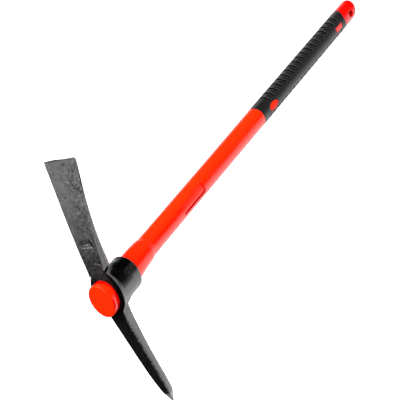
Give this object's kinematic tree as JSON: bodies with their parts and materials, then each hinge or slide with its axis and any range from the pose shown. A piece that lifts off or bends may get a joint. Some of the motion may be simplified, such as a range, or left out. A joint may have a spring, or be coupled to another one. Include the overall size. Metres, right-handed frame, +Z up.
{
  "type": "pickaxe",
  "caption": "Two-ended forged pick and adze head on a straight red glass-fibre handle with a black rubber grip and a red hanging cap.",
  "frame": {"origin": "under the middle of the tool's bounding box, on the ground that the tool lies on", "axes": "+X along the handle from the head to the hanging cap, +Y along the head towards the adze blade, +Z up, square to the plane of the head and handle"},
  "size_m": [0.9019, 0.4, 0.0554],
  "materials": {
    "black_forged_steel": "satin black paint over a forged skin, ground bright at the pick's point",
    "red_polypropylene": "glossy moulded plastic",
    "deep_red_polypropylene": "glossy moulded plastic, a deeper red",
    "black_rubber": "satin moulded rubber",
    "glass_fibre_core": "pultruded glass fibre",
    "grey_epoxy": "set adhesive"
  },
  "bodies": {
    "root": {"pick_head": "black_forged_steel", "shaft_jacket": "red_polypropylene", "core_rod": "glass_fibre_core", "eye_bond": "grey_epoxy", "end_plug": "red_polypropylene", "grip_sleeve": "black_rubber", "hang_cap": "deep_red_polypropylene"}
  },
  "joints": []
}
